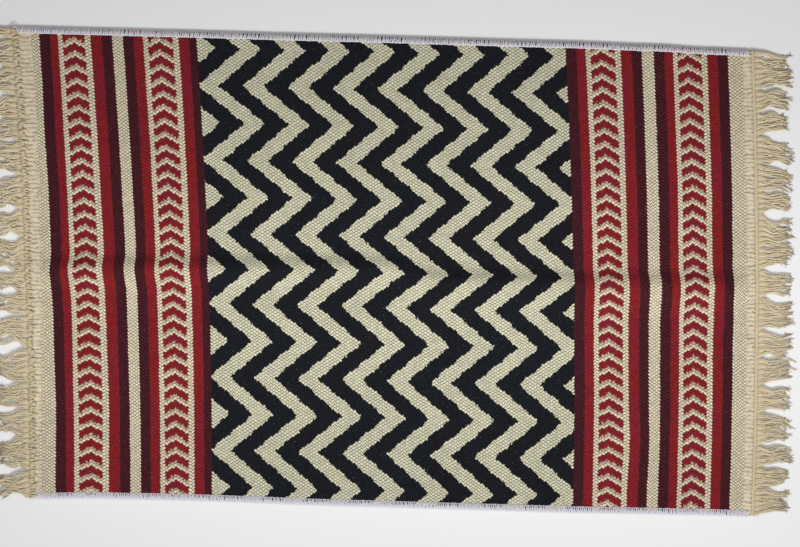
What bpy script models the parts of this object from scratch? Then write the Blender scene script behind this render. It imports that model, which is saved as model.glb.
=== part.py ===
"""A small flat-woven cotton rug, lying with a soft fold along its middle.

X runs along the warp, from the left fringe to the right one. Y runs along the weft. Z is up, and the floor
is at 0. The rug is one woven cloth with an overlocked rim on both cut edges. Past each end of the weaving a
twined line holds the loose warp ends, which lie on the floor as a fringe.

The cloth is a little out of square, as woven and as it lies. Places on it are given along the warp (s) and
across it (v), both from its middle, and lay() turns them into places on the floor.
"""

import math
import random

import bmesh
import bpy

# The woven cloth
WOVEN_LENGTH = 0.930
CLOTH_THICKNESS = 0.0040
COLUMNS = 32
ROWS_BESIDE_FOLD = 9

# How the cloth lies out of square
WARP_SLOPE = 0.0252
FAN = 0.012
LEAN = 0.065
LEAN_FROM = -0.143

# The overlocked rim, along both cut edges
RIM_WIDTH = 0.0072
RIM_THICKNESS = 0.0045
RIM_ROUND = 0.0012
RIM_EDGE_TRIM = 0.25

# The fold, a low ridge from one end of the rug to the other, steeper on its far side
FOLD_HEIGHT = 0.0085
FOLD_FAR_WIDTH = 0.021
FOLD_NEAR_ROWS = 8
FOLD_FAR_ROWS = 6
FOLD_FULL_TO = 0.400
FOLD_GONE_AT = 0.488

# The fold's crest: place along the warp, place across the floor, and how wide the fold's near side is
FOLD_CREST = (
    (-0.470, 0.0060, 0.032),
    (-0.015, 0.0070, 0.032),
    (0.065, -0.0110, 0.055),
    (0.300, -0.0145, 0.052),
    (0.470, -0.0145, 0.040),
)

# The twined line and the warp ends that it holds
PARTING = 0.0003
TWINE_DEPTH = 0.0036
TWINE_HEIGHT = 0.0044
LOCK_COUNT = 84
LOCKS_IN_CLUMP = (4, 6)
LOCK_WIDTH = 0.0047
LOCK_TIP_WIDTH = 0.0036
LOCK_HEIGHT = 0.0028
LOCK_TIP_HEIGHT = 0.0018
LOCK_LENGTH = (0.037, 0.043)
LOCK_STEPS = 4
LOCK_SPACING_AT_TIP = 0.0052
CLUMP_SWAY = 0.0034
CLUMP_WAVE = 0.0014
CLUMP_WAVE_TURN = 5.0

# Where the two cut edges run: place along the warp, near edge, far edge
CUT_EDGES = (
    (-0.470, -0.3040, 0.3020),
    (-0.365, -0.3010, 0.3015),
    (-0.255, -0.3003, 0.3010),
    (-0.080, -0.3018, 0.3000),
    (0.230, -0.3020, 0.2982),
    (0.345, -0.3010, 0.2965),
    (0.410, -0.3005, 0.2940),
    (0.470, -0.3010, 0.2930),
)

# Low swells where the cloth doesn't lie quite flat: place along the warp, place across, half length,
# half width, height
SWELLS = (
    (0.300, -0.170, 0.120, 0.060, 0.0022),
    (0.385, 0.120, 0.090, 0.075, 0.0018),
    (-0.390, -0.130, 0.080, 0.090, 0.0015),
)

CREAM = (0.46, 0.42, 0.29, 1.0)
WARP_CREAM = (0.43, 0.38, 0.27, 1.0)
COTTON_ROUGHNESS = 0.9


def smooth(fraction):
    """0 below 0, 1 above 1, and a soft step between."""
    fraction = min(1.0, max(0.0, fraction))
    return fraction * fraction * (3.0 - 2.0 * fraction)


def read_table(table, s, column):
    """A value at a place along the warp, read softly between the rows of a table."""
    for before, after in zip(table, table[1:]):
        if s <= after[0]:
            break
    share = smooth((s - before[0]) / (after[0] - before[0]))
    return before[column] + share * (after[column] - before[column])


def cut_edge(s, column):
    """One cut edge's place across the cloth."""
    return read_table(CUT_EDGES, s, column)


def fold_crest(s):
    """The fold's place across the cloth, at a place along the warp."""
    return read_table(FOLD_CREST, s, 1) + WARP_SLOPE * s


def rise(s, v):
    """How far the cloth's underside stands off the floor."""
    away = v - fold_crest(s)
    from_crest = min(1.0, abs(away) / (FOLD_FAR_WIDTH if away > 0.0 else read_table(FOLD_CREST, s, 2)))
    still_there = 1.0 - smooth((abs(s) - FOLD_FULL_TO) / (FOLD_GONE_AT - FOLD_FULL_TO))
    height = FOLD_HEIGHT * still_there * 0.5 * (1.0 + math.cos(math.pi * from_crest))
    for along, across, half_length, half_width, swell in SWELLS:
        reach = math.hypot((s - along) / half_length, (v - across) / half_width)
        height += swell * (1.0 - smooth(reach))
    return height


def lay(s, v, above):
    """The place on the floor of a point of the cloth, at a height above its underside."""
    y = v * (1.0 + FAN * s) - WARP_SLOPE * s
    x = s - LEAN * (y - LEAN_FROM) ** 2
    return x, y, rise(s, v) + above


def places_across(s):
    """The section's rows at a place along the warp: place across, underside, and top."""
    near, far = cut_edge(s, 1), cut_edge(s, 2)
    crest = fold_crest(s)
    fold_foot = crest - read_table(FOLD_CREST, s, 2)
    rim = (
        (0.0, RIM_EDGE_TRIM * RIM_THICKNESS, (1.0 - RIM_EDGE_TRIM) * RIM_THICKNESS),
        (RIM_ROUND, 0.0, RIM_THICKNESS),
        (RIM_WIDTH - RIM_ROUND, 0.0, RIM_THICKNESS),
    )
    rows = [(near + inwards, under, top) for inwards, under, top in rim]
    stretches = (
        (near + RIM_WIDTH, fold_foot, ROWS_BESIDE_FOLD),
        (fold_foot, crest, FOLD_NEAR_ROWS),
        (crest, crest + FOLD_FAR_WIDTH, FOLD_FAR_ROWS),
        (crest + FOLD_FAR_WIDTH, far - RIM_WIDTH, ROWS_BESIDE_FOLD),
    )
    for start, end, steps in stretches:
        rows += [(start + (end - start) * step / steps, 0.0, CLOTH_THICKNESS) for step in range(steps)]
    rows.append((far - RIM_WIDTH, 0.0, CLOTH_THICKNESS))
    rows += [(far - inwards, under, top) for inwards, under, top in reversed(rim)]
    return rows


def cotton(name, colour):
    material = bpy.data.materials.new(name)
    material.use_nodes = True
    shader = material.node_tree.nodes["Principled BSDF"]
    shader.inputs["Base Color"].default_value = colour
    shader.inputs["Roughness"].default_value = COTTON_ROUGHNESS
    shader.inputs["Metallic"].default_value = 0.0
    return material


def add_object(name, bm, material, collection):
    """Closes a piece into an object of its own."""
    bmesh.ops.recalc_face_normals(bm, faces=bm.faces)
    mesh = bpy.data.meshes.new(name)
    bm.to_mesh(mesh)
    bm.free()
    mesh.materials.append(material)
    piece = bpy.data.objects.new(name, mesh)
    collection.objects.link(piece)
    return piece


def flat_sheet(bm, columns, rows):
    """A sheet of grid faces, 2 units each way around the origin."""
    bmesh.ops.create_grid(bm, x_segments=columns, y_segments=rows, size=1.0)


def line_number(place, lines):
    """Which of a flat sheet's grid lines a point is on, from its place between -1 and 1."""
    return round((place + 1.0) / 2.0 * lines)


def raise_sheet(bm):
    """Extrudes a flat sheet into a slab, and gives the points of its upper side."""
    raised = bmesh.ops.extrude_face_region(bm, geom=bm.faces[:], use_keep_orig=True)
    return [item for item in raised["geom"] if isinstance(item, bmesh.types.BMVert)]


def make_cloth(material, collection):
    """The woven cloth: a slab whose section follows the fold, the swells and the rims."""
    row_count = len(places_across(0.0))
    bm = bmesh.new()
    flat_sheet(bm, COLUMNS, row_count - 1)
    upper = set(raise_sheet(bm))
    sections = []
    for column in range(COLUMNS + 1):
        s = WOVEN_LENGTH * (column / COLUMNS - 0.5)
        sections.append((s, places_across(s)))
    for vert in bm.verts:
        s, rows = sections[line_number(vert.co.x, COLUMNS)]
        v, under, top = rows[line_number(vert.co.y, row_count - 1)]
        vert.co = lay(s, v, top if vert in upper else under)
    return add_object("rug_cloth", bm, material, collection)


def clump_the_locks(draw):
    """Deals the locks of one fringe into clumps, as first and last lock."""
    clumps = []
    first = 0
    while first < LOCK_COUNT:
        last = min(LOCK_COUNT, first + draw.randint(*LOCKS_IN_CLUMP))
        clumps.append((first, last))
        first = last
    return clumps


def make_fringe(name, end, seed, material, collection):
    """The twined line at one end, and the locks of warp that lie beyond it. The end is -1 or 1 along X."""
    draw = random.Random(seed)
    inner = WOVEN_LENGTH / 2.0 + PARTING
    outer = inner + TWINE_DEPTH
    near, far = cut_edge(end * inner, 1), cut_edge(end * inner, 2)
    pitch = (far - near) / LOCK_COUNT
    margin = (pitch - LOCK_WIDTH) / 2.0

    bm = bmesh.new()
    flat_sheet(bm, 1, 2 * LOCK_COUNT)
    upper = set(raise_sheet(bm))
    for vert in bm.verts:
        line = line_number(vert.co.y, 2 * LOCK_COUNT)
        lock, far_side = divmod(line, 2)
        across = near + pitch * lock + (margin + LOCK_WIDTH if far_side else margin)
        if line == 2 * LOCK_COUNT:
            across = far
        along = outer if vert.co.x > 0.0 else inner
        vert.co = along, across, TWINE_HEIGHT if vert in upper else 0.0

    bm.normal_update()
    roots = {}
    for face in bm.faces:
        centre = face.calc_center_median()
        if centre.x < outer - PARTING / 2.0:
            continue
        lock = int((centre.y - near) / pitch)
        if abs(centre.y - near - pitch * (lock + 0.5)) < margin:
            roots[lock] = face

    for first, last in clump_the_locks(draw):
        middle = near + pitch * (first + last) / 2.0
        sway = draw.uniform(-CLUMP_SWAY, CLUMP_SWAY)
        phase = draw.uniform(0.0, 2.0 * math.pi)
        for lock in range(first, last):
            root = near + pitch * (lock + 0.5)
            tip = middle + (lock + 0.5 - (first + last) / 2.0) * LOCK_SPACING_AT_TIP + sway
            length = draw.uniform(*LOCK_LENGTH)
            face = roots[lock]
            for step in range(1, LOCK_STEPS + 1):
                share = step / LOCK_STEPS
                wave = CLUMP_WAVE * share * math.sin(phase + CLUMP_WAVE_TURN * share)
                centre = root + (tip - root) * smooth(share) + wave
                width = LOCK_WIDTH + (LOCK_TIP_WIDTH - LOCK_WIDTH) * share
                height = LOCK_HEIGHT + (LOCK_TIP_HEIGHT - LOCK_HEIGHT) * share
                middle_before = face.calc_center_median()
                extruded = bmesh.ops.extrude_discrete_faces(bm, faces=[face])
                face = extruded["faces"][0]
                for vert in face.verts:
                    side = 1.0 if vert.co.y > middle_before.y else -1.0
                    lifted = vert.co.z > middle_before.z
                    vert.co = outer + length * share, centre + side * width / 2.0, height if lifted else 0.0

    for vert in bm.verts:
        vert.co = lay(end * vert.co.x, vert.co.y, vert.co.z)
    return add_object(name, bm, material, collection)


def centre_on_floor(pieces):
    """Moves the rug so that the middle of its outline is over the origin."""
    corners = [vert.co for piece in pieces for vert in piece.data.vertices]
    shift_x = -(min(c.x for c in corners) + max(c.x for c in corners)) / 2.0
    shift_y = -(min(c.y for c in corners) + max(c.y for c in corners)) / 2.0
    for corner in corners:
        corner.x += shift_x
        corner.y += shift_y


def main():
    for old in list(bpy.data.objects):
        bpy.data.objects.remove(old, do_unlink=True)
    rug = bpy.data.collections.new("rug")
    bpy.context.scene.collection.children.link(rug)
    cloth_cotton = cotton("woven_cotton", CREAM)
    warp_cotton = cotton("warp_cotton", WARP_CREAM)
    pieces = [
        make_cloth(cloth_cotton, rug),
        make_fringe("fringe_left", -1, 11, warp_cotton, rug),
        make_fringe("fringe_right", 1, 23, warp_cotton, rug),
    ]
    centre_on_floor(pieces)


main()
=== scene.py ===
"""A small flat-woven cotton rug: zigzag field, banded ends with chevrons, overlocked edges, fringes."""

import math
import random

import bpy
import numpy as np
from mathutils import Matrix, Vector, noise


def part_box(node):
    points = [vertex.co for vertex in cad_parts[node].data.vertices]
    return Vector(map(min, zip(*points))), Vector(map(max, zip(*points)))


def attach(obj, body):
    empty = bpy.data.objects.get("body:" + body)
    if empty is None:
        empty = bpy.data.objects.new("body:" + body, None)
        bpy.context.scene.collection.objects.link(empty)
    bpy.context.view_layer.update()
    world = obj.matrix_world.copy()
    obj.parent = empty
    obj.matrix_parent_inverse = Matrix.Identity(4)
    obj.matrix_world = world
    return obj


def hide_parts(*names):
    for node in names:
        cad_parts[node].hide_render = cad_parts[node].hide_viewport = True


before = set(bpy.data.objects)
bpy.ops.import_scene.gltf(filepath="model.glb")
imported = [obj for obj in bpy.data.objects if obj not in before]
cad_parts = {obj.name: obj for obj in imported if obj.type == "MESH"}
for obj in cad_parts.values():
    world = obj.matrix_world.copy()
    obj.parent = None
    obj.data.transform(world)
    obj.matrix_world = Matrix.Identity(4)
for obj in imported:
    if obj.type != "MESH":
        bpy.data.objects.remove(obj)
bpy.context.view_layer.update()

# The woven cloth: one weft-faced cotton flatweave, its warp running along X. It lies on its solid's folds,
# a little out of square. Places on it are given along the warp (s) and across it (v), from its middle, and
# t is the place across along the cloth's own surface, over the fold.

WOVEN_LENGTH = 0.930
CLOTH_THICKNESS = 0.0040
CELLS_ACROSS = 124

WARP_SLOPE = 0.0252
FAN = 0.012
LEAN = 0.065
LEAN_FROM = -0.143

FOLD_HEIGHT = 0.0085
FOLD_FAR_WIDTH = 0.021
FOLD_FULL_TO = 0.400
FOLD_GONE_AT = 0.488

# The fold's crest: place along the warp, place across the floor, and how wide the fold's near side is
FOLD_CREST = (
    (-0.470, 0.0060, 0.032),
    (-0.015, 0.0070, 0.032),
    (0.065, -0.0110, 0.055),
    (0.300, -0.0145, 0.052),
    (0.470, -0.0145, 0.040),
)

# Where the two cut edges run: place along the warp, near edge, far edge
CUT_EDGES = (
    (-0.470, -0.3040, 0.3020),
    (-0.365, -0.3010, 0.3015),
    (-0.255, -0.3003, 0.3010),
    (-0.080, -0.3018, 0.3000),
    (0.230, -0.3020, 0.2982),
    (0.345, -0.3010, 0.2965),
    (0.410, -0.3005, 0.2940),
    (0.470, -0.3010, 0.2930),
)

# Low swells: place along the warp, place across, half length, half width, height
SWELLS = (
    (0.300, -0.170, 0.120, 0.060, 0.0022),
    (0.385, 0.120, 0.090, 0.075, 0.0018),
    (-0.390, -0.130, 0.080, 0.090, 0.0015),
)

RIM_WIDTH = 0.0072
RIM_PINCH_ABOVE = 0.0011
RIM_PINCH_BELOW = 0.0011
UNEVENNESS = 0.00035
UNEVEN_PATCH = 0.028
OUTLINE_PLACES = 401


def smooth(fraction):
    """0 below 0, 1 above 1, and a soft step between."""
    fraction = min(1.0, max(0.0, fraction))
    return fraction * fraction * (3.0 - 2.0 * fraction)


def read_table(table, s, column):
    """A value at a place along the warp, read softly between the rows of a table."""
    for before, after in zip(table, table[1:]):
        if s <= after[0]:
            break
    share = smooth((s - before[0]) / (after[0] - before[0]))
    return before[column] + share * (after[column] - before[column])


def cut_edge(s, column):
    """One cut edge's place across the cloth."""
    return read_table(CUT_EDGES, s, column)


def from_crest(s, v):
    """How far a point is from the fold's crest across the cloth, and the fold's width on that side."""
    away = v - read_table(FOLD_CREST, s, 1) - WARP_SLOPE * s
    return away, FOLD_FAR_WIDTH if away > 0.0 else read_table(FOLD_CREST, s, 2)


def fold_there(s):
    """How much of the fold there is: all of it in the middle, and none past both ends."""
    return 1.0 - smooth((abs(s) - FOLD_FULL_TO) / (FOLD_GONE_AT - FOLD_FULL_TO))


def rise(s, v):
    """How far the cloth's underside stands off the floor."""
    away, width = from_crest(s, v)
    reach = min(1.0, abs(away) / width)
    height = FOLD_HEIGHT * fold_there(s) * 0.5 * (1.0 + math.cos(math.pi * reach))
    for along, across, half_length, half_width, swell in SWELLS:
        reach = math.hypot((s - along) / half_length, (v - across) / half_width)
        height += swell * (1.0 - smooth(reach))
    return height


def over_fold(s, v):
    """The place across measured along the cloth, which is longer over the fold than its shadow is."""
    away, width = from_crest(s, v)
    reach = min(1.0, abs(away) / width)
    spare = (math.pi * FOLD_HEIGHT * fold_there(s)) ** 2 / (16.0 * width)
    spare *= reach - math.sin(2.0 * math.pi * reach) / (2.0 * math.pi)
    return v + math.copysign(spare, away)


def lay(s, v, above):
    """The place of a point of the cloth, at a height above its underside, before the rug is centred."""
    y = v * (1.0 + FAN * s) - WARP_SLOPE * s
    x = s - LEAN * (y - LEAN_FROM) ** 2
    return x, y, rise(s, v) + above


def uneven(s, v):
    """The small lumps of hand-beaten cloth."""
    return UNEVENNESS * noise.noise(Vector((s / UNEVEN_PATCH, v / UNEVEN_PATCH, 0.0)))


# The chart of the weave: places along the warp, and the number of the column of stitches that starts
# there. The narrow columns are those where a pale band meets a dark one.
CHART = (
    (-0.4650, -67),
    (-0.4480, -63),
    (-0.4352, -59),
    (-0.4216, -55),
    (-0.4116, -52),
    (-0.4094, -51),
    (-0.4057, -50),
    (-0.3777, -43),
    (-0.3735, -42),
    (-0.3701, -41),
    (-0.3562, -36),
    (-0.3430, -32),
    (-0.3408, -31),
    (-0.3317, -28),
    (-0.3294, -27),
    (-0.3166, -23),
    (-0.3040, -20),
    (-0.3018, -19),
    (-0.2982, -18),
    (-0.2665, -10),
    (-0.2624, -9),
    (-0.2590, -8),
    (-0.2457, -4),
    (-0.2359, 0),
    (0.2329, 136),
    (0.2462, 140),
    (0.2582, 143),
    (0.2603, 144),
    (0.2643, 145),
    (0.2946, 153),
    (0.2983, 154),
    (0.3018, 155),
    (0.3155, 159),
    (0.3283, 162),
    (0.3435, 167),
    (0.3567, 170),
    (0.3674, 173),
    (0.3696, 174),
    (0.3729, 175),
    (0.4023, 183),
    (0.4058, 184),
    (0.4092, 185),
    (0.4227, 189),
    (0.4356, 194),
    (0.4537, 200),
    (0.4650, 203),
)
LONGEST_STEP = 0.0049

# The rows of stitches, which lie along the warp: place along it, place of the first row, row pitch
ROWS = (
    (-0.3913, 0.28087, 0.004277),
    (-0.2827, 0.28420, 0.004292),
    (-0.2300, 0.28352, 0.004271),
    (0.2330, 0.28261, 0.004254),
    (0.2800, 0.28201, 0.004291),
    (0.3882, 0.27916, 0.004265),
)
# The warps stand a little closer here and wider there: place across, and the rows gained by it
ROW_DRIFT = (
    (-0.300, -0.20),
    (-0.190, 0.10),
    (-0.120, 0.25),
    (-0.050, 0.30),
    (0.050, 0.15),
    (0.170, -0.15),
    (0.300, -0.35),
)

# The bands stand a little off the chart, as hand-beaten wefts do: place along the warp, shift along it,
# and how much that shift grows across the cloth
LEANINGS = (
    (-0.465, 0.0000, 0.000),
    (-0.425, -0.0003, 0.001),
    (-0.360, 0.0021, -0.008),
    (-0.290, 0.0023, -0.007),
    (-0.245, 0.0012, -0.005),
    (0.000, 0.0000, -0.005),
    (0.245, -0.0008, -0.007),
    (0.315, 0.0002, -0.007),
    (0.345, -0.0008, -0.004),
    (0.410, 0.0012, -0.005),
    (0.465, 0.0000, 0.000),
)
# Some wander further: place along the warp, place across, half length, half width, shift along the warp
WANDERS = (
    (0.312, -0.215, 0.045, 0.060, 0.0024),
    (0.420, -0.045, 0.035, 0.035, 0.0017),
    (-0.425, -0.025, 0.040, 0.050, -0.0014),
    (-0.350, 0.040, 0.070, 0.050, 0.0008),
    (-0.430, 0.170, 0.026, 0.070, -0.0012),
    (-0.437, -0.180, 0.020, 0.090, 0.0012),
    (-0.370, -0.160, 0.030, 0.110, 0.0014),
)


def wander(s, v):
    """How far a line of the chart stands off its place along the warp."""
    for before, after in zip(LEANINGS, LEANINGS[1:]):
        if s <= after[0]:
            break
    share = (s - before[0]) / (after[0] - before[0])
    shift = before[1] + share * (after[1] - before[1])
    shift += v * (before[2] + share * (after[2] - before[2]))
    for along, across, half_length, half_width, most in WANDERS:
        reach = math.hypot((s - along) / half_length, (v - across) / half_width)
        shift += most * (1.0 - smooth(reach))
    return shift


def row_number(s, t):
    """The row of stitches at a place along the cloth's surface, counted from the far edge."""
    places, firsts, pitches = zip(*ROWS)
    drift = np.interp(t, *zip(*ROW_DRIFT))
    return (np.interp(s, places, firsts) - t) / np.interp(s, places, pitches) + drift


def settle(points):
    """Centres laid points as the solids are, so that the cloth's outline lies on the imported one."""
    return np.array(points) + centring


stations = [CHART[0]]
for before, after in zip(CHART, CHART[1:]):
    steps = math.ceil((after[0] - before[0]) / LONGEST_STEP)
    for step in range(1, steps + 1):
        share = step / steps
        stations.append([low + share * (high - low) for low, high in zip(before, after)])
cells_along = len(stations) - 1

edge_places = np.linspace(-0.5, 0.5, OUTLINE_PLACES) * WOVEN_LENGTH
outline = np.array([lay(s, cut_edge(s, side), 0.0)[:2] for s in edge_places for side in (1, 2)])
cloth_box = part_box("rug_cloth")
solid_middle = (cloth_box[0] + cloth_box[1]) / 2.0
outline_middle = (outline.min(0) + outline.max(0)) / 2.0
centring = np.array((solid_middle.x - outline_middle[0], solid_middle.y - outline_middle[1], 0.0))

bpy.ops.object.select_all(action="DESELECT")
bpy.ops.mesh.primitive_grid_add(x_subdivisions=cells_along, y_subdivisions=CELLS_ACROSS, size=2.0)
woven_cloth = bpy.context.object
woven_cloth.name = "woven_cloth"
bpy.ops.object.mode_set(mode="EDIT")
bpy.ops.mesh.select_all(action="SELECT")
bpy.ops.mesh.extrude_region_move(TRANSFORM_OT_translate={"value": (0.0, 0.0, 1.0)})
bpy.ops.mesh.select_all(action="SELECT")
bpy.ops.mesh.normals_make_consistent(inside=False)
bpy.ops.object.mode_set(mode="OBJECT")

cloth_mesh = woven_cloth.data
grid = np.empty(len(cloth_mesh.vertices) * 3)
cloth_mesh.vertices.foreach_get("co", grid)
grid = grid.reshape(-1, 3)
laid = np.empty_like(grid)
on_cloth = np.empty((len(grid), 2))
stitches = np.empty((len(grid), 2))
for number, (x, y, upper) in enumerate(grid):
    charted, column = stations[round((x + 1.0) / 2.0 * cells_along)]
    near, far = cut_edge(charted, 1), cut_edge(charted, 2)
    v = near + (far - near) * (y + 1.0) / 2.0
    s = charted + wander(charted, v)
    rim = 1.0 - smooth(min(v - near, far - v) / RIM_WIDTH)
    above = CLOTH_THICKNESS - RIM_PINCH_ABOVE * rim if upper > 0.5 else RIM_PINCH_BELOW * rim
    laid[number] = lay(s, v, above + (uneven(s, v) if upper > 0.5 else 0.0))
    on_cloth[number] = charted, over_fold(s, v)
    stitches[number] = column, row_number(charted, over_fold(s, v))
cloth_mesh.vertices.foreach_set("co", settle(laid).ravel())
cloth_mesh.update()
cloth_mesh.polygons.foreach_set("use_smooth", np.ones(len(cloth_mesh.polygons), dtype=bool))

# The weave map holds the column and row of the stitches. The other map spreads both sides over one square.
BAKE_EDGE = 0.0022
FRONT_MIDDLE = 0.3275
BACK_SCALE = 0.50
BACK_MIDDLE = 0.828
WALLS_FROM = 0.68
WALL_STRIP = 0.012
WALL_MIDDLE = 0.77
WALL_REACH = 0.21
corner_points = np.empty(len(cloth_mesh.loops), dtype=int)
cloth_mesh.loops.foreach_get("vertex_index", corner_points)
weave_map = cloth_mesh.uv_layers.new(name="weave")
weave_map.data.foreach_set("uv", stitches[corner_points].ravel())
spread_map = cloth_mesh.uv_layers.new(name="OFBake")
spread = np.empty((len(corner_points), 2))
back_side = cloth_mesh.attributes.new("back_side", "FLOAT", "FACE")
for face in cloth_mesh.polygons:
    corners = list(face.loop_indices)
    points = corner_points[corners]
    heights = grid[points, 2]
    place = on_cloth[points] / WOVEN_LENGTH * (1.0 - 2.0 * BAKE_EDGE)
    if heights.min() > 0.5:
        spread[corners] = place + (0.5, FRONT_MIDDLE + BAKE_EDGE)
        back_side.data[face.index].value = 0.0
    elif heights.max() < 0.5:
        spread[corners] = place * BACK_SCALE + (BACK_SCALE / 2.0 + BAKE_EDGE, BACK_MIDDLE)
        back_side.data[face.index].value = 1.0
    else:
        lengthways = np.ptp(grid[points, 0]) > np.ptp(grid[points, 1])
        run = grid[points, 0] if lengthways else grid[points, 1]
        first = grid[points, 1].mean() > 0.0 if lengthways else grid[points, 0].mean() > 0.0
        strip = (0 if lengthways else 2) + (0 if first else 1)
        spread[corners, 0] = WALL_MIDDLE + run * WALL_REACH
        spread[corners, 1] = WALLS_FROM + (2.0 * strip + heights) * WALL_STRIP
        back_side.data[face.index].value = 0.0
spread_map.data.foreach_set("uv", spread.ravel())


class Strand:
    """A shader socket that takes part in arithmetic: each operator adds its Math node."""

    def __init__(self, tree, socket):
        self.tree = tree
        self.socket = socket

    def node(self, kind, settings, sockets, output=0):
        """Adds a node: its settings first, then the values and links of its sockets."""
        made = self.tree.nodes.new(kind)
        for name, value in settings.items():
            if name == "stops":
                ramp = made.color_ramp
                while len(ramp.elements) < len(value):
                    ramp.elements.new(1.0)
                for element, (place, colour) in zip(ramp.elements, value):
                    element.position = place
                    element.color = colour
            elif name == "interpolation":
                made.color_ramp.interpolation = value
            else:
                setattr(made, name, value)
        for name, value in sockets.items():
            if isinstance(value, Strand):
                self.tree.links.new(value.socket, made.inputs[name])
            else:
                made.inputs[name].default_value = value
        return Strand(self.tree, made.outputs[output])

    def math(self, operation, *others):
        sockets = dict(enumerate((self, *others)))
        return self.node("ShaderNodeMath", {"operation": operation}, sockets)

    def __add__(self, other):
        return self.math("ADD", other)

    __radd__ = __add__

    def __sub__(self, other):
        return self.math("SUBTRACT", other)

    def __rsub__(self, other):
        return self.math("MULTIPLY", -1.0).math("ADD", other)

    def __mul__(self, other):
        return self.math("MULTIPLY", other)

    def __truediv__(self, other):
        return self.math("DIVIDE", other)

    def __gt__(self, other):
        return self.math("GREATER_THAN", other)

    def __lt__(self, other):
        return self.math("LESS_THAN", other)

    def __abs__(self):
        return self.math("ABSOLUTE")

    def floor(self):
        return self.math("FLOOR")

    def part(self):
        """What is left over a whole number."""
        return self.math("FRACT")

    def at_least(self, other):
        return self.math("MAXIMUM", other)

    def at_most(self, other):
        return self.math("MINIMUM", other)

    def step(self, low, high):
        """A soft step from 0 at low to 1 at high."""
        return self.node("ShaderNodeMapRange", {"interpolation_type": "SMOOTHSTEP"},
                         {"Value": self, "From Min": low, "From Max": high})

    def mix(self, first, second):
        """Mixes two colours by this value."""
        return self.node("ShaderNodeMix", {"data_type": "RGBA"}, {0: self, 6: first, 7: second}, output=2)

    def tint(self, colour):
        """Multiplies a colour by this grey value."""
        return self.node("ShaderNodeMix", {"data_type": "RGBA", "blend_type": "MULTIPLY"},
                         {0: 1.0, 6: colour, 7: self}, output=2)


SPECULAR_LEVEL = 0.06


def start_material(name, roughness):
    """A new material, and a strand from which its nodes grow."""
    material = bpy.data.materials.new(name)
    material.use_nodes = True
    shader = material.node_tree.nodes["Principled BSDF"]
    shader.inputs["Roughness"].default_value = roughness
    shader.inputs["Specular IOR Level"].default_value = SPECULAR_LEVEL
    return material, shader, Strand(material.node_tree, None)


def link(value, shader, name):
    value.tree.links.new(value.socket, shader.inputs[name])


def srgb(red, green, blue):
    """A colour as seen on screen, 0 to 255, as the shader takes it."""
    values = [c / 255.0 for c in (red, green, blue)]
    return tuple(c / 12.92 if c <= 0.04045 else ((c + 0.055) / 1.055) ** 2.4 for c in values) + (1.0,)


CREAM = srgb(225, 222, 194)
BEIGE = srgb(233, 220, 191)
BLACK = srgb(31, 34, 39)
WARM_BLACK = srgb(35, 31, 36)
RED = srgb(139, 37, 38)
CRIMSON = srgb(135, 36, 49)
MAROON = srgb(75, 33, 40)
HEADING = srgb(229, 214, 186)
LINT = srgb(150, 148, 155)
BLUSH = srgb(150, 60, 55)
GAP_SHADE_BROWN = srgb(92, 74, 44)

# The bands, by the number of their first column, and their yarns
BANDS_LEFT = (
    (-67, HEADING),
    (-63, BEIGE),
    (-59, MAROON),
    (-55, RED),
    (-52, BEIGE),
    (-41, RED),
    (-36, MAROON),
    (-32, BEIGE),
    (-27, MAROON),
    (-23, RED),
    (-20, BEIGE),
    (-8, RED),
    (-4, MAROON),
    (0, BLACK),
)
BANDS_RIGHT = (
    (130, BLACK),
    (136, MAROON),
    (140, RED),
    (143, BEIGE),
    (155, RED),
    (159, MAROON),
    (162, BEIGE),
    (167, MAROON),
    (170, RED),
    (173, BEIGE),
    (185, RED),
    (189, MAROON),
    (194, BEIGE),
    (200, HEADING),
)
RAMP_COLUMNS = 80.0
READ_IN_COLUMN = 0.65
FIELD_COLUMNS = (0, 136)
HEADING_COLUMNS = (-62.0, 200.0)
HEADING_SLANT = 0.018

# Each line of chevrons: the column of its points, the columns on their left and right, and the first
# point's row. The chevrons stand four rows apart, about half of each red and half cream.
CHEVRONS = (
    (-47, 3, 3, -1.5),
    (-15, 3, 4, -1.5),
    (148, 3, 4, -2.0),
    (178, 3, 4, -2.0),
)
CHEVRON_ROWS = 4.0
# How deep their red goes, as a share of those rows: at least, more by the stitch, by the ply, and in the
# columns at both sides. Then where the stain below it fades, and how strong it is.
CHEVRON_RED = 0.43
CHEVRON_UNEVEN = 0.08
CHEVRON_RAGGED = 0.16
CHEVRON_SIDES = 0.05
CHEVRON_SIDE_FROM = 2.5
BLUSH_FADES = (0.55, 0.80)
BLUSH_MOST = 0.70

# The zigzags in columns and rows: how far apart they stand, how wide the cream is, how far it swings, the
# rows in one swing there and back, the row and column of a left point, and how blunt the points are
ZIGZAG_PITCH = 16.556
ZIGZAG_CREAM = 7.78
ZIGZAG_SWING = 16.35
ZIGZAG_ROWS = 22.14
ZIGZAG_FIRST_ROW = 10.88
ZIGZAG_FIRST_COLUMN = -0.73
ZIGZAG_BLUNT = 0.4
ZIGZAG_RAGGED = 0.5
ZIGZAG_FINE = 0.5

STITCH_SLANT = 0.38
STITCH_REACH = 0.80
STITCH_PLUMP = 1.86
STITCH_ROUND = 0.82
PLIES_IN_COLUMN = 2.5
HEADING_RIB_ROWS = 1.29
HEADING_PIECE_COLUMNS = 1.4

# How the hand's beat wanders, in stitches, and the patches of dye that came out crimson or warm black
HAND_PATCH = 0.42
HAND_WANDER = 0.5
DYE_ALONG = 0.16
DYE_ACROSS = 0.045
WARM_PATCH = 0.6
CRIMSON_MOST = 0.8
WARM_MOST = 0.7

# Painted shade in the gaps: how dark it is, and how much lighter between red stitches; then how much brown
# it takes between pale stitches
GAP_SHADE_DARK = 0.76
GAP_LIGHTER_IN_RED = 0.28
GAP_SHADE_BROWN_MOST = 0.45
FADE_PATCH = 0.05
LINT_GRAIN = 2.3
LINT_MOST = 0.5
RELIEF = 0.0008

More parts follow.
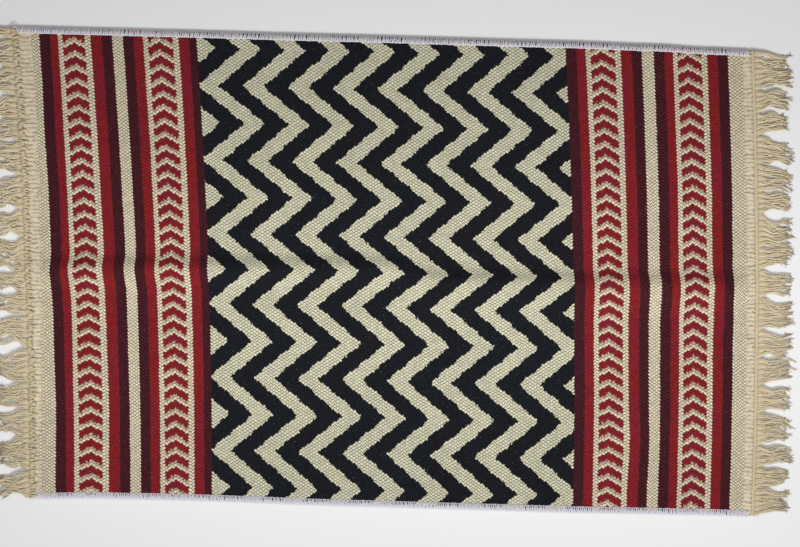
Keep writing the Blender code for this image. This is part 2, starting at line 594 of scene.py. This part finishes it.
woven, woven_shader, start = start_material("woven_cotton", 0.92)
chart = start.node("ShaderNodeUVMap", {"uv_map": "weave"}, {})
hand = start.node("ShaderNodeTexNoise", {}, {"Vector": chart, "Scale": HAND_PATCH, "Detail": 1.0},
                  output="Color")
hand_columns = hand.node("ShaderNodeSeparateColor", {}, {0: hand}, output="Red")
hand_rows = hand.node("ShaderNodeSeparateColor", {}, {0: hand}, output="Green")
columns = chart.node("ShaderNodeSeparateXYZ", {}, {0: chart}, output="X")
rows = chart.node("ShaderNodeSeparateXYZ", {}, {0: chart}, output="Y")


def stitches_of(parity):
    """The stitches of every other column: their column, row, place along and across them, and height.

    Odd columns lean the other way, half a row lower, and each stitch's ends tuck in between the next ones.
    """
    pairs = (columns + (hand_columns - 0.5) * HAND_WANDER - 0.5 - parity) / 2.0
    nearest = (pairs + 0.5).floor()
    along = (pairs - nearest) * 2.0
    lean = -STITCH_SLANT if parity else STITCH_SLANT
    leant = rows + (hand_rows - 0.5) * HAND_WANDER - along * lean - parity / 2.0
    row = leant.floor()
    across = leant - row - 0.5
    height = 1.0 - (along / STITCH_REACH) * (along / STITCH_REACH) - across * across * STITCH_PLUMP ** 2
    return nearest * 2.0 + parity, row + (0.5 + parity / 2.0), along, across, height


even, odd = stitches_of(0), stitches_of(1)
odd_on_top = odd[4] > even[4]
column, row, along, across, height = [low + odd_on_top * (high - low) for low, high in zip(even, odd)]
stitch = start.node("ShaderNodeCombineXYZ", {}, {0: column, 1: row})
chance = start.node("ShaderNodeTexWhiteNoise", {"noise_dimensions": "2D"}, {"Vector": stitch})
gap = 1.0 - height.step(0.0, STITCH_ROUND)
ply = start.node("ShaderNodeCombineXYZ", {}, {0: (along * PLIES_IN_COLUMN).floor() + column * 7.0, 1: row})
ply_chance = start.node("ShaderNodeTexWhiteNoise", {"noise_dimensions": "2D"}, {"Vector": ply})

# The zigzags, cream on black. Where their edge crosses a stitch, the stitch is partly covered by its
# neighbour, so the edge runs between the stitch's middle and its own line.
edge_row = row + across * ZIGZAG_FINE
edge_column = column + along * ZIGZAG_FINE
swing = abs(((edge_row - ZIGZAG_FIRST_ROW) / ZIGZAG_ROWS).part() * 2.0 - 1.0)
swing = (1.0 - swing) * ZIGZAG_SWING
from_left = ((edge_column + 0.5 - ZIGZAG_FIRST_COLUMN - swing) / ZIGZAG_PITCH).part() * ZIGZAG_PITCH
from_left = from_left + (ply_chance - 0.5) * ZIGZAG_RAGGED
left_limit = (ZIGZAG_BLUNT - swing).at_least(0.0)
right_limit = ZIGZAG_CREAM - (swing - (ZIGZAG_SWING - ZIGZAG_BLUNT)).at_least(0.0)
in_field = (column + 0.5 > FIELD_COLUMNS[0]) * (column + 0.5 < FIELD_COLUMNS[1])
zigzag = (from_left > left_limit) * (from_left < right_limit) * in_field

# The chevrons, half a row lower with each column away from their point. Underneath, their red floats end
# unevenly, lowest at both sides, and stain the cream below them a little.
chevron = blush = 0.0
for point, left, right, first_row in CHEVRONS:
    away = column - point
    inside = (away > -left - 0.5) * (away < right + 0.5)
    depth = ((row + across - first_row - abs(away) * 0.5) / CHEVRON_ROWS).part()
    lowest = CHEVRON_RED + chance * chance * CHEVRON_UNEVEN + ply_chance * CHEVRON_RAGGED
    lowest = lowest + (abs(away) > CHEVRON_SIDE_FROM) * CHEVRON_SIDES
    chevron = inside * (depth < lowest) + chevron
    blush = inside * (1.0 - depth.step(*BLUSH_FADES)) * (0.5 + ply_chance) + blush

halves = []
for bands in (BANDS_LEFT, BANDS_RIGHT):
    first = bands[0][0] - 1.0
    stops = [((number - first) / RAMP_COLUMNS, yarn) for number, yarn in bands]
    halves.append(start.node("ShaderNodeValToRGB", {"interpolation": "CONSTANT", "stops": stops},
                             {0: (column + READ_IN_COLUMN - first) / RAMP_COLUMNS}))
banded = (column > BANDS_RIGHT[0][0]).mix(*halves)
dye_place = start.node("ShaderNodeCombineXYZ", {}, {0: columns * DYE_ALONG, 1: rows * DYE_ACROSS})
dye_lot = start.node("ShaderNodeTexNoise", {}, {"Vector": dye_place, "Scale": 1.0, "Detail": 2.0})
dye_lot = dye_lot.step(0.36, 0.64)
chevron_red = dye_lot.mix(RED, CRIMSON)
banded = (blush * BLUSH_MOST).mix(banded, BLUSH)
front = zigzag.mix(chevron.mix(banded, chevron_red), CREAM)

# On the back the two yarns of each figure change places
back = (in_field * (1.0 - zigzag)).mix(chevron.mix(banded, RED), CREAM)
back = (in_field * zigzag).mix(back, BLACK)
side = start.node("ShaderNodeAttribute", {"attribute_name": "back_side"}, {}, output="Fac")
yarn = side.mix(front, back)
warm = start.node("ShaderNodeTexNoise", {}, {"Vector": dye_place, "Scale": WARM_PATCH, "Detail": 1.0})
red_part = start.node("ShaderNodeSeparateColor", {}, {0: yarn}, output="Red")
pale = start.node("ShaderNodeSeparateColor", {}, {0: yarn}, output="Green").step(0.05, 0.30)
reddish = red_part.step(0.12, 0.22) * (1.0 - pale)
yarn = (reddish * dye_lot * CRIMSON_MOST).mix(yarn, CRIMSON)
blackish = 1.0 - red_part.step(0.015, 0.05)
yarn = (blackish * warm.step(0.4, 0.7) * WARM_MOST).mix(yarn, WARM_BLACK)

# The headings at both ends: bare warp ribs along X, with uneven painted shade in the gaps between
heading_left = column + rows * HEADING_SLANT + chance < HEADING_COLUMNS[0]
heading = (heading_left + (column + 0.5 > HEADING_COLUMNS[1])).at_most(1.0)
rib = rows / HEADING_RIB_ROWS + (hand_rows - 0.5)
rib_piece = (columns / HEADING_PIECE_COLUMNS + hand_rows * 3.0).floor()
rib_number = start.node("ShaderNodeCombineXYZ", {}, {0: rib_piece, 1: (rib + 0.5).floor()})
rib_chance = start.node("ShaderNodeTexWhiteNoise", {"noise_dimensions": "2D"}, {"Vector": rib_number})
rib_gap = (abs(rib.part() - 0.5) * 2.0).step(0.35, 1.0) * (0.16 + rib_chance.step(0.20, 1.0) * 0.36)
# Painted shade: how deep the shade painted in the gaps is, between ribs on the headings and between stitches
# elsewhere
hollow = heading * rib_gap + (1.0 - heading) * gap

# Cotton fibre along each stitch, painted shade in the gaps, darkest between pale stitches and brown there,
# and lint caught on the dark ones
fibre_place = start.node("ShaderNodeCombineXYZ", {},
                         {0: along * 1.1 + chance * 50.0, 1: across * 7.0, 2: chance * 9.0})
fibre = start.node("ShaderNodeTexNoise", {}, {"Vector": fibre_place, "Scale": 1.0, "Detail": 1.0})
patch = start.node("ShaderNodeTexNoise", {}, {"Vector": chart, "Scale": FADE_PATCH, "Detail": 2.0})
# Painted shade: the yarn's colour is darkened where stitches and ribs leave gaps, and between pale stitches
# it is mixed towards brown
shade = (1.0 - hollow * (GAP_SHADE_DARK - reddish * GAP_LIGHTER_IN_RED)) * (0.80 + chance * 0.20)
shade = shade * (0.74 + fibre * 0.52)
shade = shade * (0.90 + patch * 0.20)
shaded_yarn = (hollow * pale * GAP_SHADE_BROWN_MOST).mix(shade.tint(yarn), GAP_SHADE_BROWN)
lint = start.node("ShaderNodeTexNoise", {}, {"Vector": chart, "Scale": LINT_GRAIN, "Detail": 1.0})
shaded_yarn = (lint.step(0.71, 0.77) * (1.0 - pale) * LINT_MOST).mix(shaded_yarn, LINT)
link(shaded_yarn, woven_shader, "Base Color")
relief = (1.0 - hollow) * (0.45 + pale * 0.55) + fibre * 0.25
bump = start.node("ShaderNodeBump", {}, {"Strength": 0.8, "Distance": RELIEF, "Height": relief})
link(bump, woven_shader, "Normal")
cloth_mesh.materials.append(woven)

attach(woven_cloth, "root")
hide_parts("rug_cloth")

# The overlock on both cut edges: white spun thread, sewn over the rim in close slanting turns that lean
# both ways, with a line of needle thread along its inner side.

OVERLOCK_BITE = 0.0066
OVERLOCK_PITCH = 0.0050
OVERLOCK_THREAD = 0.00088
OVERLOCK_OVER = CLOTH_THICKNESS - RIM_PINCH_ABOVE + OVERLOCK_THREAD * 0.5
OVERLOCK_UNDER = OVERLOCK_THREAD + 0.0001
OVERLOCK_BESIDE = (OVERLOCK_OVER + OVERLOCK_UNDER) / 2.0
OVERLOCK_FROM = -WOVEN_LENGTH / 2.0 + 0.001
OVERLOCK_TURNS = int(WOVEN_LENGTH / OVERLOCK_PITCH)
BITE_UNEVEN = 0.12
SLIP = 0.0005
NEEDLE_POINTS = 4
NEEDLE_ABOVE = 0.0007
NEEDLE_DIP = 0.0007
THREAD_WHITE = srgb(218, 215, 223)
THREAD_FUZZ = 900.0
THREAD_RELIEF = 0.0003

# A turn's section, from the needle line on top, round the cut edge, to the needle line below: share of the
# bite, and height
TURN_SECTION = (
    (1.00, OVERLOCK_OVER + 0.0006),
    (0.66, OVERLOCK_OVER + 0.0005),
    (0.33, OVERLOCK_OVER + 0.0003),
    (0.04, OVERLOCK_OVER),
    (-0.08, OVERLOCK_BESIDE + 0.0008),
    (-0.08, OVERLOCK_BESIDE - 0.0008),
    (0.04, OVERLOCK_UNDER + 0.0001),
    (0.50, OVERLOCK_UNDER),
    (1.00, OVERLOCK_UNDER),
)
# How full the thread is from place to place of a turn, and in the needle line. On the near edge the turns
# close up over the rim. On the far one they are pulled thin there, and the rim shows between them.
NEAR_FULLNESS = (0.85, 0.95, 1.30, 1.50, 1.50, 1.50, 1.00, 1.00, 0.85)
FAR_FULLNESS = (1.20, 1.30, 0.90, 0.55, 0.55, 0.55, 0.80, 0.90, 0.80)
NEEDLE_NEAR = 0.5
NEEDLE_FAR = 0.9
# The threads wound round the rim: how far each leans, where its first turn starts, and its thickness
WINDINGS = ((0.5, 0.0, 1.0), (0.5, 0.5, 1.0), (-0.5, 0.25, 0.6))


def wind(name, routes, thickness):
    """Round threads along routes, each a list of x, y, z and relative thickness, joined as one mesh."""
    bpy.ops.object.select_all(action="DESELECT")
    bpy.ops.curve.primitive_nurbs_path_add()
    piece = bpy.context.object
    piece.name = name
    thread = piece.data
    thread.splines.clear()
    thread.dimensions = "3D"
    thread.bevel_depth = thickness
    thread.bevel_resolution = 1
    thread.use_fill_caps = True
    for route in routes:
        spline = thread.splines.new("POLY")
        spline.points.add(len(route) - 1)
        for point, (x, y, z, size) in zip(spline.points, route):
            point.co = x, y, z, 1.0
            point.radius = size
    bpy.ops.object.convert(target="MESH")
    piece = bpy.context.object
    bpy.ops.object.mode_set(mode="EDIT")
    bpy.ops.mesh.select_all(action="SELECT")
    bpy.ops.mesh.remove_doubles(threshold=0.00001)
    bpy.ops.mesh.normals_make_consistent(inside=False)
    bpy.ops.object.mode_set(mode="OBJECT")
    bpy.ops.object.shade_smooth()
    return piece


def laid_route(points):
    """Turns a route given on the cloth into one on the floor, centred as the solids are."""
    placed = settle(np.array([lay(s, v, above) for s, v, above, size in points]))
    return [(x, y, z, point[3]) for (x, y, z), point in zip(placed, points)]


thread_white, thread_shader, start = start_material("overlock_thread", 0.75)
thread_place = start.node("ShaderNodeTexCoord", {}, {}, output="Object")
fibre = start.node("ShaderNodeTexNoise", {}, {"Vector": thread_place, "Scale": THREAD_FUZZ})
thread_shade = 0.80 + fibre * 0.35
link(thread_shade.tint(THREAD_WHITE), thread_shader, "Base Color")
bump = start.node("ShaderNodeBump", {}, {"Strength": 0.6, "Distance": THREAD_RELIEF, "Height": fibre})
link(bump, thread_shader, "Normal")

draw = random.Random(5)
for name, side, inwards, fullness, needle_fullness in (
    ("overlock_near", 1, 1.0, NEAR_FULLNESS, NEEDLE_NEAR),
    ("overlock_far", 2, -1.0, FAR_FULLNESS, NEEDLE_FAR),
):
    routes = []
    for lean, start_at, size in WINDINGS:
        route = []
        for turn_number in range(OVERLOCK_TURNS):
            bite = OVERLOCK_BITE * draw.uniform(1.0 - BITE_UNEVEN, 1.0 + BITE_UNEVEN)
            slip = draw.uniform(-SLIP, SLIP)
            for step, (share, height) in enumerate(TURN_SECTION):
                turn = turn_number + lean * step / len(TURN_SECTION) * 2.0 + start_at
                s_place = OVERLOCK_FROM + OVERLOCK_PITCH * min(turn, OVERLOCK_TURNS - 1.0) + slip
                s_place = max(OVERLOCK_FROM - SLIP, s_place)
                edge = cut_edge(s_place, side)
                route.append((s_place, edge + inwards * bite * share, height, size * fullness[step]))
        routes.append(laid_route(route))
    needle = []
    for number in range(OVERLOCK_TURNS * NEEDLE_POINTS):
        s_place = OVERLOCK_FROM + OVERLOCK_PITCH * number / NEEDLE_POINTS
        dip = NEEDLE_DIP if number % NEEDLE_POINTS == 0 else 0.0
        needle.append((s_place, cut_edge(s_place, side) + inwards * OVERLOCK_BITE,
                       OVERLOCK_OVER + NEEDLE_ABOVE - dip, needle_fullness))
    routes.append(laid_route(needle))
    overlock = wind(name, routes, OVERLOCK_THREAD)
    overlock.data.materials.append(thread_white)
    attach(overlock, "root")

# The twined lines: at each end of the weaving two cotton strands twist about each other around the warps,
# and hold them. Each runs from one cut edge to the other, at the inner end of its fringe.

PARTING = 0.0003
TWINE_DEPTH = 0.0036
TWINE_STRAND = 0.00170
TWINE_TWIST = 0.0075
TWINE_POINTS = 9
TWINE_REACH = TWINE_STRAND * 0.45
TWINE_MIDDLE_HEIGHT = TWINE_STRAND * 1.45 + 0.0001
TWINE_INSET = 0.001
WARP_CREAM = srgb(216, 201, 170)
# The next brown is painted shade, for the yarns lying lowest
WARP_SHADE_BROWN = srgb(122, 96, 62)
WARP_FUZZ = 700.0
WARP_PATCH = 55.0
WARP_RELIEF = 0.0004

warp_cotton, warp_shader, start = start_material("warp_cotton", 0.9)
yarn_place = start.node("ShaderNodeTexCoord", {}, {}, output="Object")
wool = start.node("ShaderNodeTexNoise", {}, {"Vector": yarn_place, "Scale": WARP_FUZZ, "Detail": 3.0})
patch = start.node("ShaderNodeTexNoise", {}, {"Vector": yarn_place, "Scale": WARP_PATCH})
warp_shade = 0.72 + wool * 0.28 + patch * 0.26
height = yarn_place.node("ShaderNodeSeparateXYZ", {}, {0: yarn_place}, output="Z")
# Painted shade: the yarns lying lowest, under the others, are mixed towards brown, more so in some patches
low_shade = (1.0 - height.step(0.0004, 0.0030)) * (0.30 + patch.step(0.35, 0.65) * 0.55)
link(low_shade.mix(warp_shade.tint(WARP_CREAM), WARP_SHADE_BROWN), warp_shader, "Base Color")
bump = start.node("ShaderNodeBump", {}, {"Strength": 0.8, "Distance": WARP_RELIEF, "Height": wool})
link(bump, warp_shader, "Normal")


def twine(end):
    """The two strands of one end's twined line."""
    middle = WOVEN_LENGTH / 2.0 + PARTING + TWINE_DEPTH / 2.0
    near, far = cut_edge(end * middle, 1), cut_edge(end * middle, 2)
    steps = int((far - near) / TWINE_TWIST * TWINE_POINTS)
    routes = []
    for strand in (0.0, math.pi):
        route = []
        for number in range(steps + 1):
            v = near + TWINE_INSET + (far - near - 2.0 * TWINE_INSET) * number / steps
            angle = strand + 2.0 * math.pi * number / TWINE_POINTS
            height = TWINE_MIDDLE_HEIGHT + TWINE_REACH * math.cos(angle)
            route.append((end * (middle + TWINE_REACH * math.sin(angle)), v, height, 1.0))
        routes.append(laid_route(route))
    return routes


# The fringes: the warp ends past each twined line, left loose. They lie on the floor in clumps that narrow
# to their tips, each lock a soft bundle of cotton yarns that end in frayed fibre.

LOCK_COUNT = 84
LOCKS_IN_CLUMP = (4, 6)
LOCK_LENGTH = (0.037, 0.043)
LOCK_SPACING_AT_TIP = 0.0052
CLUMPED_AT = 0.55
CLUMP_SWAY = 0.0034
CLUMP_WAVE = 0.0014
CLUMP_WAVE_TURN = 5.0
YARNS_IN_LOCK = 5
YARN = 0.00095
YARN_SPACING = 0.00148
YARN_POINTS = 13
YARN_WAVE = 0.0007
YARN_SLIDE = 0.0010
YARN_SWING = (0.4, 1.4)
YARN_TURN = (5.0, 11.0)
YARN_REACH = (0.80, 1.08)
YARN_LIFT = (0.0, 0.0006)
YARN_TAPER = 0.30
LOCK_WAVE = 0.0012
LOCK_SWING = (0.6, 1.4)
LOCK_TURN = (4.0, 8.0)
LOCK_DOME = 0.0022
LOCK_DRAWN_IN = 0.40
ROOT_LIFT = 0.0012
LOOSE_OVER = 2.5
FRAY_FIBRES = 4
FRAY_LENGTH = (0.0028, 0.007)
FRAY_POINTS = 5
FRAY_SPREAD = 0.6
FRAY_BEND = 0.7
FRAY_SIZE = 0.36
FRAY_HEIGHT = 0.0003
FRAY_OVERLAP = 0.0008

# A yarn that starts over the twined line: how far inside the line's outer side, and how high
COVERING = ((0.0058, 0.0048), (0.0036, 0.0062), (0.0012, 0.0062))
COVERING_SIZE = 0.8
COVERING_STRAY = (-0.0014, 0.0050)


def lock_paths(end, seed):
    """Each lock's path: its root along and across, its tip across, where its wave starts, and its length."""
    clumped = random.Random(seed)
    outer = WOVEN_LENGTH / 2.0 + PARTING + TWINE_DEPTH
    inner = WOVEN_LENGTH / 2.0 + PARTING
    near, far = cut_edge(end * inner, 1), cut_edge(end * inner, 2)
    pitch = (far - near) / LOCK_COUNT
    clumps = []
    first = 0
    while first < LOCK_COUNT:
        last = min(LOCK_COUNT, first + clumped.randint(*LOCKS_IN_CLUMP))
        clumps.append((first, last))
        first = last
    paths = []
    for first, last in clumps:
        middle = near + pitch * (first + last) / 2.0
        sway = clumped.uniform(-CLUMP_SWAY, CLUMP_SWAY)
        phase = clumped.uniform(0.0, 2.0 * math.pi)
        for lock in range(first, last):
            root = near + pitch * (lock + 0.5)
            tip = middle + (lock + 0.5 - (first + last) / 2.0) * LOCK_SPACING_AT_TIP + sway
            paths.append((outer, root, tip, phase, clumped.uniform(*LOCK_LENGTH)))
    return paths


def along_lock(path, share):
    """The place along and across at a share of a lock's length."""
    outer, root, tip, phase, length = path
    wave = CLUMP_WAVE * share * math.sin(phase + CLUMP_WAVE_TURN * share)
    return outer + length * share, root + (tip - root) * smooth(share / CLUMPED_AT) + wave


def loose_yarns(end, seed, curl, cover):
    """The yarns of one fringe, and the fibres at their tips. Some may cover the twined line."""
    draw = random.Random(seed + 100)
    yarns, fibres = [], []
    for path in lock_paths(end, seed):
        lock_swing = draw.uniform(*LOCK_SWING) * curl
        lock_turn = draw.uniform(*LOCK_TURN)
        lock_from = draw.uniform(0.0, 2.0 * math.pi)
        for number in range(YARNS_IN_LOCK):
            offset = (number - (YARNS_IN_LOCK - 1) / 2.0) * YARN_SPACING
            swing = draw.uniform(*YARN_SWING) * curl
            turn_rate = draw.uniform(*YARN_TURN)
            turn_from = draw.uniform(0.0, 2.0 * math.pi)
            reach = draw.uniform(*YARN_REACH)
            from_middle = 2.0 * offset / YARN_SPACING / YARNS_IN_LOCK
            lift = LOCK_DOME * (1.0 - from_middle ** 2) + draw.uniform(*YARN_LIFT)
            route = []
            if draw.random() < cover:
                start_along, start_across = along_lock(path, 0.0)
                stray = draw.uniform(*COVERING_STRAY)
                for inwards, height in COVERING:
                    on_line = end * (start_along - inwards - stray)
                    route.append((on_line, start_across + offset, height, COVERING_SIZE))
            for step in range(YARN_POINTS):
                share = step / (YARN_POINTS - 1)
                along, across = along_lock(path, share * reach)
                loose = smooth(share * LOOSE_OVER)
                across += offset * (1.0 - LOCK_DRAWN_IN * share)
                across += YARN_WAVE * swing * loose * math.sin(turn_from + turn_rate * share)
                across += LOCK_WAVE * lock_swing * loose * math.sin(lock_from + lock_turn * share)
                along += YARN_SLIDE * swing * loose * math.sin(turn_from * 2.0 + turn_rate * 1.3 * share)
                height = YARN + lift * math.sin(math.pi * (share * 0.7 + 0.2)) + ROOT_LIFT * (1.0 - loose)
                route.append((end * along, across, height, 1.0 - YARN_TAPER * share))
            yarns.append(laid_route(route))
            tip_s, tip_v, tip_height = route[-1][:3]
            before_s, before_v = route[-2][:2]
            heading_angle = math.atan2(tip_v - before_v, tip_s - before_s)
            for _ in range(FRAY_FIBRES):
                angle = heading_angle + draw.uniform(-FRAY_SPREAD, FRAY_SPREAD)
                bend = draw.uniform(-FRAY_BEND, FRAY_BEND)
                length = draw.uniform(*FRAY_LENGTH)
                fibre_route = []
                for step in range(FRAY_POINTS):
                    share = step / (FRAY_POINTS - 1)
                    direction = angle + bend * share
                    fibre_route.append((
                        tip_s + length * share * math.cos(direction) - end * FRAY_OVERLAP * (1.0 - share),
                        tip_v + length * share * math.sin(direction),
                        tip_height * (1.0 - share) + FRAY_HEIGHT,
                        FRAY_SIZE * (1.0 - 0.6 * share),
                    ))
                fibres.append(laid_route(fibre_route))
    return yarns, fibres


for name, node, end, seed, curl, cover in (
    ("fringe_yarns_left", "fringe_left", -1, 11, 2.0, 0.85),
    ("fringe_yarns_right", "fringe_right", 1, 23, 1.3, 0.0),
):
    yarns, fibres = loose_yarns(end, seed, curl, cover)
    fringe = wind(name, yarns + fibres, YARN)
    fringe.data.materials.append(warp_cotton)
    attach(fringe, "root")
    twined = wind(name.replace("fringe_yarns", "twined_line"), twine(end), TWINE_STRAND)
    twined.data.materials.append(warp_cotton)
    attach(twined, "root")
    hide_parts(node)
    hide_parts(node)

# The floor and the light: a pale floor, a large soft lamp on the near side, which draws the fold's shadow
# on its far side, a weak one over the middle, and an even pale sky.

FLOOR_SIZE = 12.0
FLOOR_GREY = srgb(243, 243, 243)
SKY_STRENGTH = 0.34

bpy.ops.object.select_all(action="DESELECT")
bpy.ops.mesh.primitive_plane_add(size=FLOOR_SIZE, location=(0.0, 0.0, 0.0))
floor = bpy.context.object
floor.name = "floor"
pale_floor, floor_shader, _ = start_material("pale_floor", 0.7)
floor_shader.inputs["Base Color"].default_value = FLOOR_GREY
floor.data.materials.append(pale_floor)

sky = bpy.data.worlds.new("pale_sky")
sky.use_nodes = True
sky.node_tree.nodes["Background"].inputs["Color"].default_value = (1.0, 1.0, 1.0, 1.0)
sky.node_tree.nodes["Background"].inputs["Strength"].default_value = SKY_STRENGTH
bpy.context.scene.world = sky

for name, place, size, energy in (
    ("window_light", (1.00, -2.90, 2.45), (2.0, 0.8), 94.0),
    ("room_light", (0.00, -0.05, 0.35), (1.1, 0.15), 1.08),
):
    bpy.ops.object.light_add(type="AREA", location=place)
    lamp = bpy.context.object
    lamp.name = name
    lamp.data.shape = "RECTANGLE"
    lamp.data.size, lamp.data.size_y = size
    lamp.data.energy = energy
    lamp.rotation_euler = Vector(place).to_track_quat("Z", "Y").to_euler()
    lamp.visible_camera = False

# The camera looks almost straight down from a little past the rug's middle, so that the far edge is a
# little nearer to it. The photo's pixels set how wide it sees.

PHOTO_SCALE = 0.00128
FRAME_WIDTH = 800
PHOTO_MIDDLE_S = 0.00885
CAMERA_DISTANCE = 1.10
TILT_SINE_PER_METRE = 0.0377
CAMERA_TILT = math.asin(TILT_SINE_PER_METRE * CAMERA_DISTANCE)
SENSOR_WIDTH = 36.0

seen_middle = settle(np.array([[PHOTO_MIDDLE_S, 0.0, CLOTH_THICKNESS]]))[0]
bpy.ops.object.camera_add()
camera = bpy.context.object
camera.data.sensor_fit = "HORIZONTAL"
camera.data.sensor_width = SENSOR_WIDTH
camera.data.lens = SENSOR_WIDTH * CAMERA_DISTANCE / (FRAME_WIDTH * PHOTO_SCALE)
camera.location = (
    seen_middle[0],
    seen_middle[1] + CAMERA_DISTANCE * math.sin(CAMERA_TILT),
    seen_middle[2] + CAMERA_DISTANCE * math.cos(CAMERA_TILT),
)
camera.rotation_euler = (-CAMERA_TILT, 0.0, 0.0)
bpy.context.scene.camera = camera
bpy.context.scene.view_settings.view_transform = "Standard"
